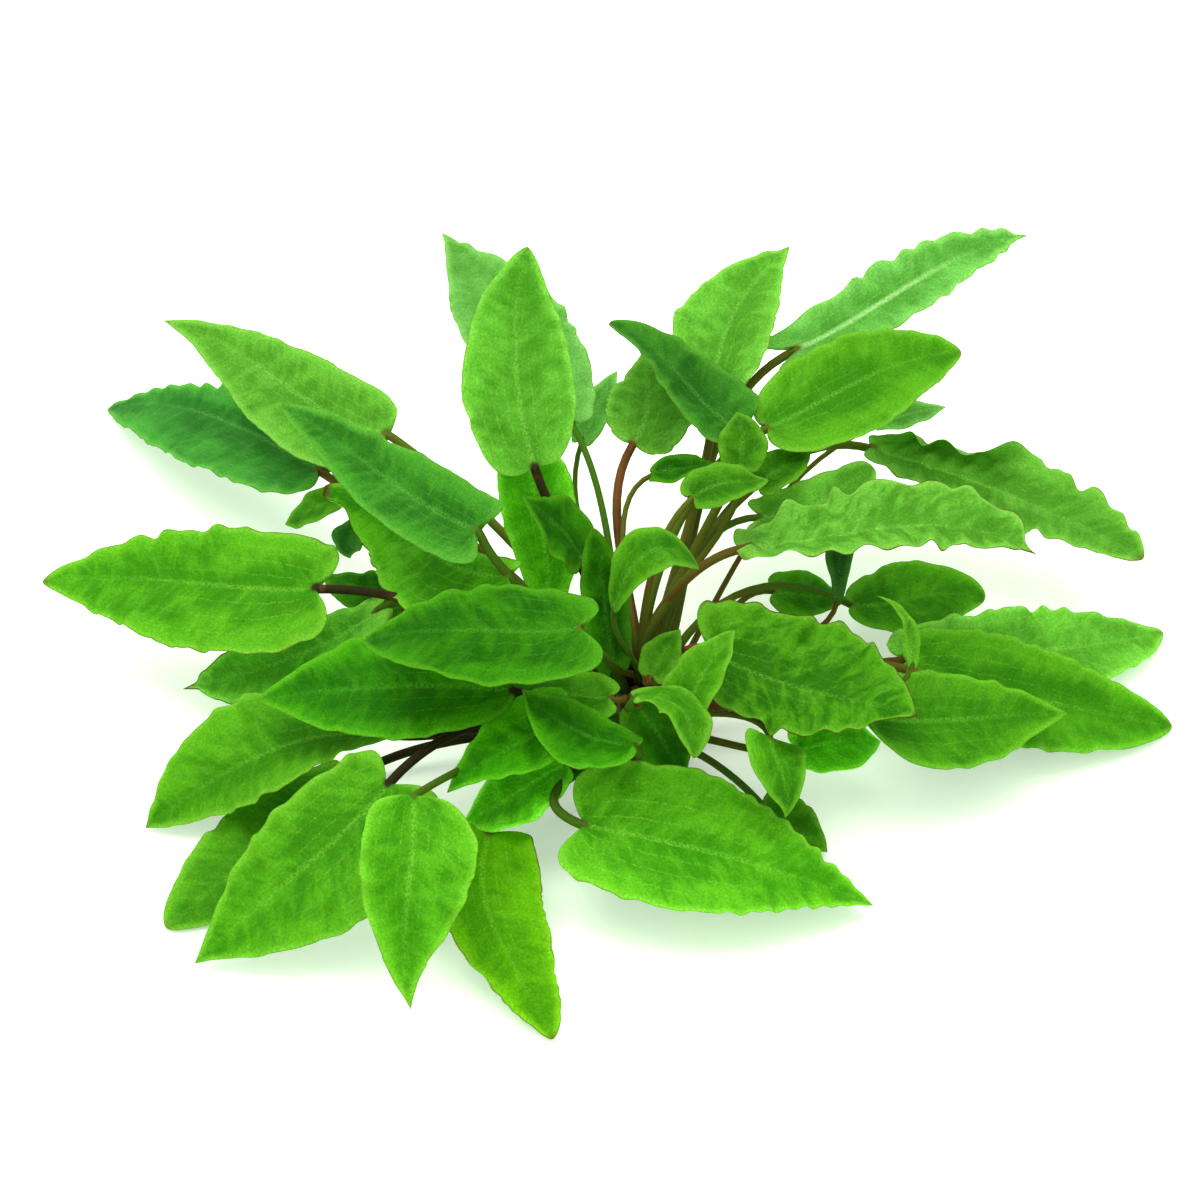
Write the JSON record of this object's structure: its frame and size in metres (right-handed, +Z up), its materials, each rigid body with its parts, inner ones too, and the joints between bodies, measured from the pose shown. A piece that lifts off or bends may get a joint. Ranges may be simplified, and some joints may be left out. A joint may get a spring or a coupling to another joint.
{
  "type": "cryptocoryne plant",
  "caption": "Rosette of broad pointed green leaves on slender stalks that rise from a short rootstock, resting on its flat cut underside.",
  "frame": {"origin": "centre of the rootstock's flat underside, on the surface that the plant rests on", "axes": "+Z up along the rootstock, -Y towards the picture's viewer, +X to the picture's right"},
  "size_m": [0.25, 0.201, 0.106],
  "materials": {
    "rootstock": "rough brown living crown",
    "leaf_light": "satin living leaf, light green",
    "leaf_mid": "satin living leaf, mid green",
    "leaf_dark": "satin living leaf, dark green",
    "leaf_yellow": "satin living leaf, yellow green"
  },
  "bodies": {
    "root": {"rootstock": "rootstock", "leaf_left_back_low": "leaf_dark", "leaf_left_back_high": "leaf_light", "leaf_left_upper": "leaf_dark", "leaf_left_frilled": "leaf_mid", "leaf_left_small_back": "leaf_mid", "leaf_left_small_hanging": "leaf_dark", "leaf_left_big": "leaf_mid", "leaf_left_tucked": "leaf_dark", "leaf_left_narrow": "leaf_mid", "leaf_left_long": "leaf_mid", "leaf_left_top": "leaf_mid", "leaf_front_left_floor": "leaf_mid", "leaf_front_left_low": "leaf_mid", "leaf_front_left_big": "leaf_mid", "leaf_front_near": "leaf_mid", "leaf_front_yellow": "leaf_yellow", "leaf_front_right_big": "leaf_light", "leaf_front_folded": "leaf_mid", "leaf_front_under": "leaf_mid", "leaf_front_dark": "leaf_dark", "leaf_front_small_lobed": "leaf_mid", "leaf_front_pointed": "leaf_mid", "leaf_front_low_dark": "leaf_dark", "leaf_front_right_low": "leaf_mid", "leaf_middle_tall": "leaf_mid", "leaf_middle_behind_tall": "leaf_mid", "leaf_middle_dark": "leaf_dark", "leaf_middle_upright": "leaf_dark", "leaf_middle_arched": "leaf_mid", "leaf_middle_light": "leaf_light", "leaf_middle_tiny": "leaf_mid", "leaf_middle_folded": "leaf_light", "leaf_middle_low_dark": "leaf_dark", "leaf_back_far": "leaf_mid", "leaf_back_mottled": "leaf_light", "leaf_back_dark_folded": "leaf_dark", "leaf_back_crenate": "leaf_mid", "leaf_back_thin": "leaf_mid", "leaf_back_right_big": "leaf_light", "leaf_back_right_far": "leaf_mid", "leaf_back_small_dark": "leaf_dark", "leaf_back_veined": "leaf_mid", "leaf_back_veined_top": "leaf_mid", "leaf_back_olive": "leaf_mid", "leaf_back_half_hidden": "leaf_mid", "leaf_right_ruffled": "leaf_mid", "leaf_right_twisted": "leaf_mid", "leaf_right_far_sliver": "leaf_mid", "leaf_right_oval": "leaf_mid", "leaf_right_low_dark": "leaf_dark", "leaf_right_dark_sliver": "leaf_dark", "leaf_right_frilly": "leaf_light", "leaf_right_long": "leaf_mid", "leaf_right_light": "leaf_light", "leaf_right_curl": "leaf_mid", "leaf_right_mottled": "leaf_mid"}
  },
  "joints": []
}
